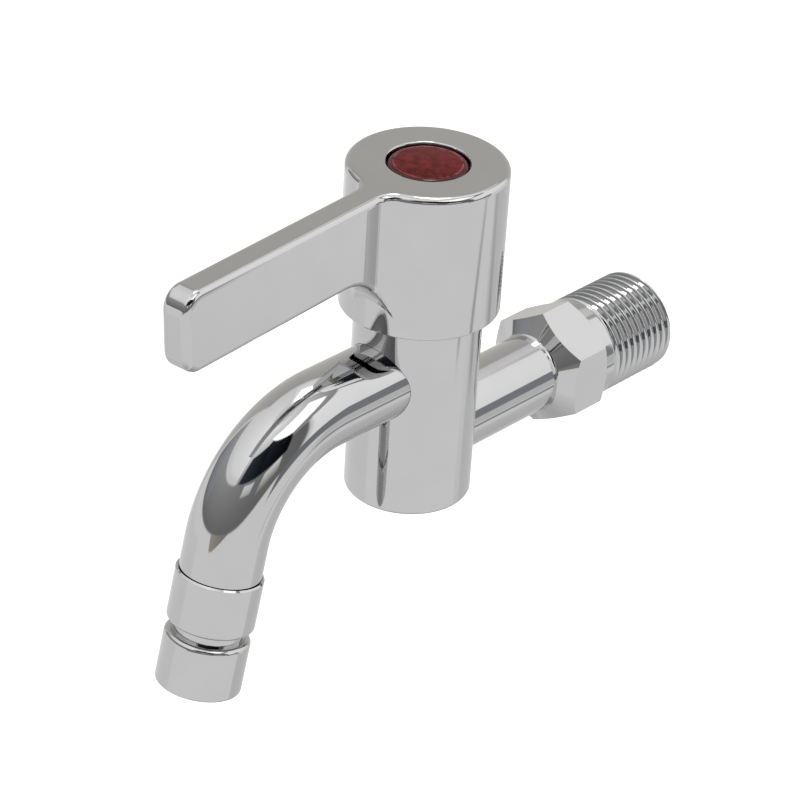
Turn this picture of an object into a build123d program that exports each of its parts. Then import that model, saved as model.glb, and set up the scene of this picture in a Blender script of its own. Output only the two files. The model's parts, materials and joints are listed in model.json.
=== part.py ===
from build123d import *
import os
from math import cos, pi, radians, sin, sqrt, tan

# Wall-mounted lever bib tap with one G 1/2 inlet and a quarter-turn ceramic cartridge.
# Millimetres, +Z up. The origin is on the inlet axis at the rear face of the inlet hexagon,
# where the tap meets the wall. +Y goes into the wall, and the spout and lever point to -Y.

# Inlet tail: tube, hexagon and G 1/2 shank turned in one piece
THREAD_MAJOR_DIAMETER = 20.955
THREAD_PITCH = 1.814
THREAD_DEPTH = 1.162
THREAD_FLANK_ANGLE = 27.5
THREAD_LENGTH = 21.2
THREAD_LEAD_CHAMFER = 0.6
PLAIN_SHANK_LENGTH = 2.4
HEX_ACROSS_FLATS = 21.3
HEX_LENGTH = 10.2
HEX_CHAMFER_ANGLE = 33.0
HEX_FACE_INSET = 0.3
INLET_TUBE_DIAMETER = 15.6
INLET_WALL = 2.25
INLET_REACH = 46.6
INLET_ROOT_ROUND = 0.8

# Barrel: a turned and cross-drilled bar
BARREL_DIAMETER = 24.6
BARREL_WALL = 2.1
BARREL_BELOW_INLET = 11.0
BARREL_EDGE_ROUND = 0.7
BARREL_FLOOR = 4.5
GALLERY_STEP = 0.6
SEAT_BORE = 10.0
SEAT_WEB = 1.5
INLET_SOCKET_LAND = 2.5

# Spout: a bent tube that goes through the barrel wall
SPOUT_RISE = 16.0
SPOUT_TUBE_DIAMETER = 15.6
SPOUT_WALL = 1.95
SPOUT_RUN = 25.4
SPOUT_BEND_RADIUS = 24.1
SPOUT_BEND_ANGLE = 77.5
SPOUT_TIP = 6.3
SPIGOT_LENGTH = 4.0
SPIGOT_STEP = 0.9

# Outlet sleeve and aerator
SLEEVE_STEP = 0.55
SLEEVE_LENGTH = 10.5
SLEEVE_END_ROUND = 0.8
SLEEVE_EDGE_CHAMFER = 0.3
NECK_DEPTH = 1.7
NECK_LENGTH = 2.1
MALE_INSET = 1.4
MALE_LENGTH = 4.2
COLLAR_INSET = 0.15
COLLAR_LENGTH = 10.8
COLLAR_TOP_ROUND = 1.0
COLLAR_EDGE_ROUND = 0.5
COLLAR_LIP_WIDTH = 0.9
COLLAR_LIP_THICKNESS = 0.8
AERATOR_WASHER_THICKNESS = 1.0
AERATOR_WASHER_WIDTH = 1.7
SCREEN_THICKNESS = 0.4
SCREEN_OPENING = 1.1
SCREEN_PITCH = 1.5
CELL_ACROSS_FLATS = 1.5
CELL_PITCH = 1.8
CELL_TURN = 30.0
PATTERN_RIM = 0.5

# Handle: one casting of a cup and a lever
HANDLE_GAP = 0.75
HANDLE_WALL = 2.3
HANDLE_HEIGHT = 29.3
HANDLE_OVERLAP = 2.7
HANDLE_ROOF = 6.1
HANDLE_EDGE_ROUND = 1.3
HANDLE_RIM_ROUND = 0.4
HANDLE_REST_ANGLE = 4.6
LEVER_WIDTH = 5.9
LEVER_HEIGHT = 16.0
LEVER_REACH = 69.5
LEVER_ROOT_ROUND = 3.8
LEVER_FLARE_RADIUS = 12.0
LEVER_TIP_UNDERCUT = 1.0
LEVER_TIP_TOP_ROUND = 4.0
LEVER_TIP_BOTTOM_ROUND = 3.7
BOSS_DIAMETER = 14.0
BOSS_LIFT = 0.9

# Indicator cap and handle screw
CAP_DIAMETER = 15.6
CAP_THICKNESS = 2.0
CAP_BELOW_TOP = 0.2
CAP_EDGE_ROUND = 1.3
CAP_RECESS_ROUND = 0.35
CAP_SKIRT_WALL = 0.8
CAP_SKIRT_DEPTH = 1.2
SCREW_DIAMETER = 4.0
SCREW_HEAD_DIAMETER = 7.0
SCREW_HEAD_HEIGHT = 1.4
SCREW_LENGTH = 10.0
SCREW_SLOT_WIDTH = 1.0
SCREW_SLOT_DEPTH = 0.7
SCREW_POCKET_DEPTH = 2.8

# Cartridge
CARTRIDGE_THREAD_LENGTH = 7.4
GALLERY_MARGIN = 0.85
GALLERY_GAP = 1.2
SKIRT_WALL = 1.3
SKIRT_LIFT = 0.8
WASHER_THICKNESS = 1.0
FLANGE_INSET = 0.4
FLANGE_THICKNESS = 2.0
BONNET_ACROSS_FLATS = 17.0
BONNET_HEIGHT = 4.5
STOP_COLLAR_DIAMETER = 14.5
STOP_COLLAR_HEIGHT = 2.5
STOP_NOTCH_DEPTH = 2.0
STOP_LUG_HALF_ANGLE = 15.0
STOP_LUG_REACH = 2.4
SEAL_HEIGHT = 2.2
SEAL_WALL = 1.9
DISC_THICKNESS = 2.6
DISC_PORT_INNER_RADIUS = 1.6
DISC_PORT_RIM = 1.2
DISC_PORT_HALF_ANGLE = 35.0
DISC_BLADE_HALF_ANGLE = 45.0
DISC_LUG_WIDTH = 3.0
TONGUE_WIDTH = 3.6
TONGUE_DEPTH = 1.0
DRIVER_HEIGHT = 2.0
SLIP_WASHER_THICKNESS = 0.5
WINDOW_WIDTH = 7.0
SPINDLE_DIAMETER = 8.8
O_RING_SECTION = 1.5
O_RING_SPACING = 4.5
O_RING_SQUEEZE_GAP = 0.05
CLIP_THICKNESS = 0.8
CLIP_WIDTH = 1.6
CLIP_DEPTH = 0.7
CLIP_OPENING = 4.0
CLIP_LAND = 0.9
SPLINE_DIAMETER = 8.0
SPLINE_TOOTH_DEPTH = 0.45
SPLINE_TEETH = 20
SPINDLE_TOP_GAP = 2.3

# Clearances
BRAZE_GAP = 0.05
THREAD_GAP = 0.05
SLIDE_GAP = 0.1
RUNNING_GAP = 0.05
FILM_GAP = 0.02
STOP_GAP_ANGLE = 0.5
QUARTER_TURN = 90.0

# Cuts reach this far past the faces that they open, and lengths this close count as equal
OVERCUT = 1.0
SAME_LENGTH = 1e-4

# Places that follow from the sizes above
AXIS_Y = -INLET_REACH
BARREL_RADIUS = BARREL_DIAMETER / 2
THREAD_BORE_RADIUS = BARREL_RADIUS - BARREL_WALL
GALLERY_RADIUS = THREAD_BORE_RADIUS - GALLERY_STEP
SPOUT_BORE = SPOUT_TUBE_DIAMETER - 2 * SPOUT_WALL
INLET_BORE = INLET_TUBE_DIAMETER - 2 * INLET_WALL
BARREL_BOTTOM = -BARREL_BELOW_INLET
SEAT_Z = max(SPOUT_RISE - SPOUT_BORE / 2, INLET_TUBE_DIAMETER / 2 + SEAT_WEB)
GALLERY_TOP = SPOUT_RISE + SPOUT_TUBE_DIAMETER / 2 + GALLERY_MARGIN
BARREL_TOP = GALLERY_TOP + CARTRIDGE_THREAD_LENGTH
INLET_SOCKET_FLOOR = SEAT_BORE / 2 + INLET_SOCKET_LAND

SLEEVE_RADIUS = SPOUT_TUBE_DIAMETER / 2 + SLEEVE_STEP
COLLAR_RADIUS = SLEEVE_RADIUS - COLLAR_INSET
NECK_RADIUS = SLEEVE_RADIUS - NECK_DEPTH
MALE_RADIUS = SLEEVE_RADIUS - MALE_INSET

SKIRT_RADIUS = GALLERY_RADIUS - GALLERY_GAP
CHAMBER_RADIUS = SKIRT_RADIUS - SKIRT_WALL
DISC_RADIUS = CHAMBER_RADIUS - SLIDE_GAP
FIXED_DISC_Z = SEAT_Z + SEAL_HEIGHT
MOVING_DISC_Z = FIXED_DISC_Z + DISC_THICKNESS + FILM_GAP
DRIVER_Z = MOVING_DISC_Z + DISC_THICKNESS + FILM_GAP
SLIP_WASHER_Z = DRIVER_Z + DRIVER_HEIGHT + FILM_GAP
CHAMBER_TOP = SLIP_WASHER_Z + SLIP_WASHER_THICKNESS
FLANGE_Z = BARREL_TOP + WASHER_THICKNESS
BONNET_Z = FLANGE_Z + FLANGE_THICKNESS
STOP_COLLAR_Z = BONNET_Z + BONNET_HEIGHT
HOUSING_TOP = STOP_COLLAR_Z + STOP_COLLAR_HEIGHT
JOURNAL_RADIUS = SPINDLE_DIAMETER / 2
CLIP_Z = HOUSING_TOP + SLIDE_GAP
CLIP_GROOVE_RADIUS = JOURNAL_RADIUS - CLIP_DEPTH
SPLINE_Z = CLIP_Z + CLIP_THICKNESS + CLIP_LAND
BOSS_BOTTOM = SPLINE_Z + BOSS_LIFT

HANDLE_RADIUS = BARREL_RADIUS + HANDLE_GAP + HANDLE_WALL
HANDLE_BOTTOM = BARREL_TOP - HANDLE_OVERLAP
HANDLE_TOP = HANDLE_BOTTOM + HANDLE_HEIGHT
CAVITY_TOP = HANDLE_TOP - HANDLE_ROOF
FLARE_END = HANDLE_RADIUS - HANDLE_WALL / 2
CLEAR_SIZE = 2 * LEVER_REACH
CAP_SEAT_Z = HANDLE_TOP - CAP_BELOW_TOP - CAP_THICKNESS
SCREW_SEAT_Z = CAP_SEAT_Z - SCREW_POCKET_DEPTH
SPINDLE_TOP = SCREW_SEAT_Z - SPINDLE_TOP_GAP
SCREW_POCKET_RADIUS = SCREW_HEAD_DIAMETER / 2 + CAP_SKIRT_WALL + 2 * SLIDE_GAP

AXIS = Location((0, AXIS_Y, 0))
TURNED = Location((0, AXIS_Y, 0), (0, 0, HANDLE_REST_ANGLE))


def turned_piece(points):
    """Solid of revolution about Z from (radius, height) points."""
    outline = Polyline(*[(r, 0, z) for r, z in points], close=True)
    return revolve(make_face(outline), axis=Axis.Z)


def ring(outer_radius, inner_radius, bottom, height):
    """Flat ring about Z."""
    face = Circle(outer_radius) - Circle(inner_radius)
    return Pos(0, 0, bottom) * extrude(face, height)


def disc(radius, bottom, height):
    """Plain disc or post about Z."""
    return Pos(0, 0, bottom) * extrude(Circle(radius), height)


def sector(inner_radius, outer_radius, middle_angle, half_angle, bottom, height):
    """Ring sector about Z, centred on middle_angle."""
    start, sweep = middle_angle - half_angle, 2 * half_angle
    outer = CenterArc((0, 0), outer_radius, start, sweep)
    inner = CenterArc((0, 0), inner_radius, start, sweep)
    sides = [Line(outer @ 0, inner @ 0), Line(outer @ 1, inner @ 1)]
    return Pos(0, 0, bottom) * extrude(make_face([outer, inner, *sides]), height)


def hex_prism(across_flats, bottom, height):
    """Hexagonal prism about Z with two corners on the X axis."""
    face = RegularPolygon(across_flats / sqrt(3), 6)
    return Pos(0, 0, bottom) * extrude(face, height)


def circles_at(solid, radius, height):
    """Circular edges of one radius at one height on a piece that is turned about Z."""
    return [
        edge
        for edge in solid.edges().filter_by(GeomType.CIRCLE)
        if abs(edge.radius - radius) < SAME_LENGTH
        and abs(edge.arc_center.Z - height) < SAME_LENGTH
    ]


def square_points(pitch, reach):
    """Centres of a square grid within reach of the axis."""
    steps = range(-int(reach / pitch), int(reach / pitch) + 1)
    places = [(column * pitch, row * pitch) for row in steps for column in steps]
    return [(x, y) for x, y in places if x * x + y * y <= reach * reach]


def triangle_points(pitch, reach):
    """Centres of a triangular grid within reach of the axis."""
    rows = int(reach / (pitch * sqrt(3) / 2)) + 1
    columns = int(reach / pitch) + 2
    for row in range(-rows, rows + 1):
        for column in range(-columns, columns + 1):
            x = (column + (row % 2) / 2) * pitch
            y = row * pitch * sqrt(3) / 2
            if x * x + y * y <= reach * reach:
                yield x, y


# Inlet and barrel


def thread_grooves():
    """Outline points of the G 1/2 thread, with one V groove for each turn along the shank."""
    crest = THREAD_MAJOR_DIAMETER / 2
    flank = THREAD_DEPTH * tan(radians(THREAD_FLANK_ANGLE))
    threaded = THREAD_LENGTH - THREAD_LEAD_CHAMFER - PLAIN_SHANK_LENGTH
    for turn in range(int(threaded / THREAD_PITCH)):
        start = PLAIN_SHANK_LENGTH + turn * THREAD_PITCH
        yield crest, start
        yield crest - THREAD_DEPTH, start + flank
        yield crest, start + 2 * flank


def make_inlet_tail():
    """Tube, coned hexagon and threaded shank, bored through. Built along Z, then laid along +Y."""
    tube_radius = INLET_TUBE_DIAMETER / 2
    shank_radius = THREAD_MAJOR_DIAMETER / 2
    tube_start = INLET_SOCKET_FLOOR - INLET_REACH
    face_radius = HEX_ACROSS_FLATS / 2 - HEX_FACE_INSET
    corner_radius = HEX_ACROSS_FLATS / sqrt(3)
    cone_slope = tan(radians(HEX_CHAMFER_ANGLE))
    chamfer = (corner_radius - face_radius) * cone_slope
    nose = -HEX_LENGTH - (face_radius - tube_radius) * cone_slope
    stock = turned_piece(
        [
            (0, tube_start),
            (tube_radius, tube_start),
            (tube_radius, 0),
            (shank_radius, 0),
            *thread_grooves(),
            (shank_radius, THREAD_LENGTH - THREAD_LEAD_CHAMFER),
            (shank_radius - THREAD_LEAD_CHAMFER, THREAD_LENGTH),
            (0, THREAD_LENGTH),
        ]
    )
    envelope = turned_piece(
        [
            (0, nose),
            (tube_radius, nose),
            (corner_radius, -HEX_LENGTH + chamfer),
            (corner_radius, -chamfer),
            (face_radius, 0),
            (0, 0),
        ]
    )
    nut = hex_prism(HEX_ACROSS_FLATS, nose, -nose) & envelope
    tail = stock + nut
    root = circles_at(tail, tube_radius, nose)
    tail = fillet(root, INLET_ROOT_ROUND)
    bore = disc(INLET_BORE / 2, tube_start - OVERCUT, THREAD_LENGTH - tube_start + 2 * OVERCUT)
    # Z of the lathe becomes +Y, and the X axis of the hexagon becomes vertical
    return Plane((0, 0, 0), x_dir=(0, 0, 1), z_dir=(0, 1, 0)) * (tail - bore)


def make_barrel():
    """Turned bar, bored from the top for cartridge and seat, with sockets for inlet and spout."""
    bar = disc(BARREL_RADIUS, BARREL_BOTTOM, BARREL_TOP - BARREL_BOTTOM)
    bar = fillet(bar.edges().filter_by(GeomType.CIRCLE), BARREL_EDGE_ROUND)
    bar -= disc(THREAD_BORE_RADIUS, GALLERY_TOP, CARTRIDGE_THREAD_LENGTH + OVERCUT)
    bar -= disc(GALLERY_RADIUS, SEAT_Z, GALLERY_TOP - SEAT_Z + OVERCUT)
    bar -= disc(SEAT_BORE / 2, BARREL_BOTTOM + BARREL_FLOOR, SEAT_Z - BARREL_BOTTOM)
    inlet_socket = Pos(0, INLET_SOCKET_FLOOR, 0) * (
        Rot(-90, 0, 0)
        * disc(INLET_TUBE_DIAMETER / 2 + BRAZE_GAP, 0, BARREL_DIAMETER)
    )
    inlet_port = Rot(-90, 0, 0) * disc(INLET_BORE / 2, 0, BARREL_DIAMETER)
    spout_socket = Pos(0, 0, SPOUT_RISE) * (
        Rot(90, 0, 0)
        * disc(SPOUT_TUBE_DIAMETER / 2 + BRAZE_GAP, 0, BARREL_DIAMETER)
    )
    socket_depth = disc(GALLERY_RADIUS, BARREL_BOTTOM, BARREL_TOP - BARREL_BOTTOM)
    bar -= inlet_socket + inlet_port
    bar -= spout_socket - socket_depth
    return AXIS * bar


# Spout and aerator


def spout_path():
    """Centre line of the spout from the barrel axis to its tip."""
    start = (0, AXIS_Y, SPOUT_RISE)
    bend_start = (0, AXIS_Y - SPOUT_RUN, SPOUT_RISE)
    bend_axis_z = SPOUT_RISE - SPOUT_BEND_RADIUS
    turn = radians(SPOUT_BEND_ANGLE)
    outward = (0, -cos(turn), -sin(turn))

    def on_bend(angle):
        return Vector(
            0,
            bend_start[1] - SPOUT_BEND_RADIUS * sin(angle),
            bend_axis_z + SPOUT_BEND_RADIUS * cos(angle),
        )

    bend_end = on_bend(turn)
    tip = bend_end + Vector(*outward) * SPOUT_TIP
    run = Line(start, bend_start)
    bend = ThreePointArc(bend_start, on_bend(turn / 2), bend_end)
    path = Wire([run, bend, Line(bend_end, tip)])
    return path, Plane(tip, x_dir=(1, 0, 0), z_dir=outward)


SPOUT_LINE, OUTLET = spout_path()


def make_spout():
    """Bent tube coped to the gallery, with a turned spigot at its tip."""
    section = Plane((0, AXIS_Y, SPOUT_RISE), x_dir=(1, 0, 0), z_dir=(0, -1, 0))
    tube_radius = SPOUT_TUBE_DIAMETER / 2
    outside = sweep(section * Circle(tube_radius), path=SPOUT_LINE)
    inside = sweep(section * Circle(SPOUT_BORE / 2), path=SPOUT_LINE)
    spigot = ring(tube_radius - SPIGOT_STEP, SPOUT_BORE / 2, 0, SPIGOT_LENGTH)
    cope = disc(GALLERY_RADIUS + BRAZE_GAP, BARREL_BOTTOM, BARREL_TOP - BARREL_BOTTOM)
    return outside - inside - AXIS * cope + OUTLET * spigot


def make_outlet_sleeve():
    """Sleeve brazed on the spigot, with a relief groove and a male thread for the collar."""
    radius, neck, male = SLEEVE_RADIUS, NECK_RADIUS, MALE_RADIUS
    socket = SPOUT_TUBE_DIAMETER / 2 - SPIGOT_STEP + BRAZE_GAP
    neck_end = SLEEVE_LENGTH + NECK_LENGTH
    male_end = neck_end + MALE_LENGTH
    sleeve = turned_piece(
        [
            (socket, 0),
            (radius - SLEEVE_EDGE_CHAMFER, 0),
            (radius, SLEEVE_EDGE_CHAMFER),
            (radius, SLEEVE_LENGTH),
            (neck, SLEEVE_LENGTH),
            (neck, neck_end),
            (male, neck_end),
            (male, male_end),
            (SPOUT_BORE / 2, male_end),
            (SPOUT_BORE / 2, SPIGOT_LENGTH + BRAZE_GAP),
            (socket, SPIGOT_LENGTH + BRAZE_GAP),
        ]
    )
    rim = circles_at(sleeve, radius, SLEEVE_LENGTH)
    return OUTLET * fillet(rim, SLEEVE_END_ROUND)


COLLAR_Z = SLEEVE_LENGTH + NECK_LENGTH
COLLAR_BORE_RADIUS = MALE_RADIUS + THREAD_GAP
AERATOR_RADIUS = COLLAR_BORE_RADIUS - SLIDE_GAP
AERATOR_WASHER_Z = COLLAR_Z + MALE_LENGTH
SCREEN_Z = AERATOR_WASHER_Z + AERATOR_WASHER_THICKNESS
INSERT_Z = SCREEN_Z + SCREEN_THICKNESS
INSERT_END = COLLAR_Z + COLLAR_LENGTH - COLLAR_LIP_THICKNESS
LIP_RADIUS = COLLAR_BORE_RADIUS - COLLAR_LIP_WIDTH


def make_aerator_collar():
    """Threaded collar with a rounded top edge and an inward lip that holds the insert."""
    radius, end = COLLAR_RADIUS, COLLAR_Z + COLLAR_LENGTH
    collar = turned_piece(
        [
            (COLLAR_BORE_RADIUS, COLLAR_Z),
            (radius, COLLAR_Z),
            (radius, end),
            (LIP_RADIUS, end),
            (LIP_RADIUS, INSERT_END),
            (COLLAR_BORE_RADIUS, INSERT_END),
        ]
    )
    collar = fillet(circles_at(collar, radius, COLLAR_Z), COLLAR_TOP_ROUND)
    return OUTLET * fillet(circles_at(collar, radius, end), COLLAR_EDGE_ROUND)


def make_aerator_washer():
    """Flat rubber ring under the male thread."""
    inner = AERATOR_RADIUS - AERATOR_WASHER_WIDTH
    return OUTLET * ring(AERATOR_RADIUS, inner, AERATOR_WASHER_Z, AERATOR_WASHER_THICKNESS)


def make_aerator_screen():
    """Steel screen with the square openings of a woven mesh."""
    reach = LIP_RADIUS - PATTERN_RIM - SCREEN_OPENING / sqrt(2)
    opening = Rectangle(SCREEN_OPENING, SCREEN_OPENING)
    face = Circle(AERATOR_RADIUS) - [Pos(x, y) * opening for x, y in square_points(SCREEN_PITCH, reach)]
    return OUTLET * (Pos(0, 0, SCREEN_Z) * extrude(face, SCREEN_THICKNESS))


def make_aerator_insert():
    """Moulded flow straightener with through cells on a triangular grid."""
    reach = LIP_RADIUS - PATTERN_RIM - CELL_ACROSS_FLATS / sqrt(3)
    cell = Rot(0, 0, CELL_TURN) * RegularPolygon(CELL_ACROSS_FLATS / sqrt(3), 6)
    face = Circle(AERATOR_RADIUS) - [Pos(x, y) * cell for x, y in triangle_points(CELL_PITCH, reach)]
    return OUTLET * (Pos(0, 0, INSERT_Z) * extrude(face, INSERT_END - INSERT_Z))


# Cartridge


def make_cartridge_housing():
    """Threaded brass housing: windowed skirt, flange, bonnet hexagon and notched stop collar."""
    thread_radius = THREAD_BORE_RADIUS - THREAD_GAP
    bore = JOURNAL_RADIUS + RUNNING_GAP
    skirt_bottom = SEAT_Z + SKIRT_LIFT
    housing = turned_piece(
        [
            (CHAMBER_RADIUS, skirt_bottom),
            (SKIRT_RADIUS, skirt_bottom),
            (SKIRT_RADIUS, GALLERY_TOP),
            (thread_radius, GALLERY_TOP),
            (thread_radius, FLANGE_Z),
            (BARREL_RADIUS - FLANGE_INSET, FLANGE_Z),
            (BARREL_RADIUS - FLANGE_INSET, BONNET_Z),
            (STOP_COLLAR_DIAMETER / 2, BONNET_Z),
            (STOP_COLLAR_DIAMETER / 2, HOUSING_TOP),
            (bore, HOUSING_TOP),
            (bore, CHAMBER_TOP),
            (CHAMBER_RADIUS, CHAMBER_TOP),
        ]
    )
    bonnet = hex_prism(BONNET_ACROSS_FLATS, BONNET_Z, BONNET_HEIGHT)
    housing += bonnet - disc(STOP_COLLAR_DIAMETER / 2, BONNET_Z, BONNET_HEIGHT)
    window_height = DRIVER_Z + DRIVER_HEIGHT - MOVING_DISC_Z
    housing -= Pos(0, 0, MOVING_DISC_Z + window_height / 2) * Box(
        WINDOW_WIDTH, 2 * BARREL_DIAMETER, window_height
    )
    lug_slot_height = MOVING_DISC_Z - skirt_bottom
    housing -= Pos(0, 0, skirt_bottom + lug_slot_height / 2) * Box(
        2 * BARREL_DIAMETER, DISC_LUG_WIDTH + 2 * SLIDE_GAP, lug_slot_height
    )
    notch_half = (QUARTER_TURN + 2 * STOP_LUG_HALF_ANGLE + 2 * STOP_GAP_ANGLE) / 2
    notch_middle = HANDLE_REST_ANGLE + QUARTER_TURN / 2
    housing -= sector(
        bore / 2,
        STOP_COLLAR_DIAMETER,
        notch_middle,
        notch_half,
        HOUSING_TOP - STOP_NOTCH_DEPTH,
        STOP_NOTCH_DEPTH + OVERCUT,
    )
    return AXIS * housing


def make_housing_washer():
    """Fibre washer between the housing flange and the barrel rim."""
    outer = BARREL_RADIUS - BARREL_EDGE_ROUND
    return AXIS * ring(outer, THREAD_BORE_RADIUS, BARREL_TOP, WASHER_THICKNESS)


def make_seat_seal():
    """Rubber ring between the barrel seat and the fixed disc."""
    return AXIS * ring(DISC_RADIUS, DISC_RADIUS - SEAL_WALL, SEAT_Z, SEAL_HEIGHT)


def make_fixed_disc():
    """Ceramic disc with two sector ports and two lugs that key it to the skirt."""
    plate = disc(DISC_RADIUS, FIXED_DISC_Z, DISC_THICKNESS)
    lugs = Pos(0, 0, FIXED_DISC_Z + DISC_THICKNESS / 2) * Box(
        2 * (SKIRT_RADIUS - SLIDE_GAP), DISC_LUG_WIDTH, DISC_THICKNESS
    )
    plate += lugs
    for side in (90, 270):
        plate -= sector(
            DISC_PORT_INNER_RADIUS,
            DISC_RADIUS - DISC_PORT_RIM,
            side,
            DISC_PORT_HALF_ANGLE,
            FIXED_DISC_Z - OVERCUT,
            DISC_THICKNESS + 2 * OVERCUT,
        )
    return AXIS * plate


def make_moving_disc():
    """Butterfly ceramic disc with a drive slot across its two blades, drawn shut."""
    plate = disc(DISC_RADIUS, MOVING_DISC_Z, DISC_THICKNESS)
    for side in (0, 180):
        plate -= sector(
            DISC_PORT_INNER_RADIUS,
            2 * DISC_RADIUS,
            side,
            QUARTER_TURN - DISC_BLADE_HALF_ANGLE,
            MOVING_DISC_Z - OVERCUT,
            DISC_THICKNESS + 2 * OVERCUT,
        )
    slot_depth = TONGUE_DEPTH + FILM_GAP
    plate -= Pos(0, 0, MOVING_DISC_Z + DISC_THICKNESS - slot_depth / 2) * Box(
        TONGUE_WIDTH + 2 * SLIDE_GAP, 4 * DISC_RADIUS, slot_depth
    )
    return TURNED * plate


def o_ring_heights():
    """Middle heights of the two spindle O-rings."""
    lower = (CHAMBER_TOP + STOP_COLLAR_Z) / 2 - O_RING_SPACING / 2
    return lower, lower + O_RING_SPACING


def spline_face(clearance):
    """Toothed outline of the spindle head, grown by clearance."""
    crest = SPLINE_DIAMETER / 2 + clearance
    root = crest - SPLINE_TOOTH_DEPTH
    step = pi / SPLINE_TEETH
    radii = [crest, root] * SPLINE_TEETH
    return make_face(
        Polyline(*[(r * cos(i * step), r * sin(i * step)) for i, r in enumerate(radii)], close=True)
    )


def make_spindle():
    """Spindle with its driver plate and tongue, O-ring grooves, stop lug, clip groove and spline."""
    driver_radius = DISC_RADIUS - SLIDE_GAP
    spindle = disc(driver_radius, DRIVER_Z, DRIVER_HEIGHT)
    spindle += disc(JOURNAL_RADIUS, DRIVER_Z, SPLINE_Z - DRIVER_Z)
    tongue_bar = Pos(0, 0, DRIVER_Z - TONGUE_DEPTH / 2) * Box(
        TONGUE_WIDTH, 2 * driver_radius, TONGUE_DEPTH
    )
    spindle += tongue_bar & disc(driver_radius, DRIVER_Z - TONGUE_DEPTH, TONGUE_DEPTH)
    for middle in o_ring_heights():
        spindle -= ring(
            2 * JOURNAL_RADIUS,
            JOURNAL_RADIUS - O_RING_SECTION + O_RING_SQUEEZE_GAP,
            middle - O_RING_SECTION / 2 - SLIDE_GAP,
            O_RING_SECTION + 2 * SLIDE_GAP,
        )
    spindle += sector(
        CLIP_GROOVE_RADIUS,
        JOURNAL_RADIUS + STOP_LUG_REACH,
        0,
        STOP_LUG_HALF_ANGLE,
        HOUSING_TOP - STOP_NOTCH_DEPTH + SLIDE_GAP,
        STOP_NOTCH_DEPTH - 2 * SLIDE_GAP,
    )
    spindle -= ring(2 * JOURNAL_RADIUS, CLIP_GROOVE_RADIUS, CLIP_Z, CLIP_THICKNESS + SLIDE_GAP)
    spindle += Pos(0, 0, SPLINE_Z) * extrude(spline_face(0), SPINDLE_TOP - SPLINE_Z)
    tapped_depth = SCREW_LENGTH - (SCREW_SEAT_Z - SPINDLE_TOP) + SCREW_DIAMETER / 2
    tapped_bottom = SPINDLE_TOP - tapped_depth
    spindle -= disc(SCREW_DIAMETER / 2 + THREAD_GAP, tapped_bottom, tapped_depth + OVERCUT)
    return TURNED * spindle


def spindle_o_ring(middle):
    """Rubber O-ring in its spindle groove."""
    section_radius = (O_RING_SECTION - O_RING_SQUEEZE_GAP) / 2
    ring_radius = JOURNAL_RADIUS - section_radius
    return TURNED * (Pos(0, 0, middle) * Torus(ring_radius, section_radius))


def make_lower_o_ring():
    """Lower spindle O-ring."""
    return spindle_o_ring(o_ring_heights()[0])


def make_upper_o_ring():
    """Upper spindle O-ring."""
    return spindle_o_ring(o_ring_heights()[1])


def make_spindle_clip():
    """Open spring clip that keeps the spindle in the housing."""
    inner = CLIP_GROOVE_RADIUS + THREAD_GAP
    clip = ring(inner + CLIP_WIDTH, inner, CLIP_Z, CLIP_THICKNESS)
    gap = Pos(0, -inner - CLIP_WIDTH / 2, CLIP_Z + CLIP_THICKNESS / 2) * Box(
        CLIP_OPENING, 2 * inner, 2 * CLIP_THICKNESS
    )
    return TURNED * (clip - gap)


def make_slip_washer():
    """Low-friction ring between the driver plate and the housing."""
    outer, inner = DISC_RADIUS - SLIDE_GAP, JOURNAL_RADIUS + SLIDE_GAP
    return AXIS * ring(outer, inner, SLIP_WASHER_Z, SLIP_WASHER_THICKNESS)


# Handle


def lever_bar(joint_y):
    """Outer end of the lever, from joint_y to its rounded tip, with all long edges rounded."""
    top, bottom = HANDLE_TOP, HANDLE_TOP - LEVER_HEIGHT
    profile = make_face(
        Polyline(
            (0, joint_y, bottom),
            (0, -LEVER_REACH + LEVER_TIP_UNDERCUT, bottom),
            (0, -LEVER_REACH, top),
            (0, joint_y, top),
            close=True,
        )
    )
    bar = extrude(profile, LEVER_WIDTH / 2, dir=(1, 0, 0), both=True)
    tip_edges = bar.edges().filter_by(Axis.X).sort_by(Axis.Y)[:2].sort_by(Axis.Z)
    bar = fillet(tip_edges[1], LEVER_TIP_TOP_ROUND)
    bottom_edges = bar.edges().filter_by(Axis.X).group_by(Axis.Z)[0]
    bar = fillet(bottom_edges.sort_by(Axis.Y)[0], LEVER_TIP_BOTTOM_ROUND)
    sides = [f for f in bar.faces() if abs(abs(f.center().X) - LEVER_WIDTH / 2) < SAME_LENGTH]
    long_edges = [e for f in sides for e in f.edges() if abs(e.center().Y - joint_y) > SAME_LENGTH]
    return fillet(long_edges, HANDLE_EDGE_ROUND)


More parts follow.
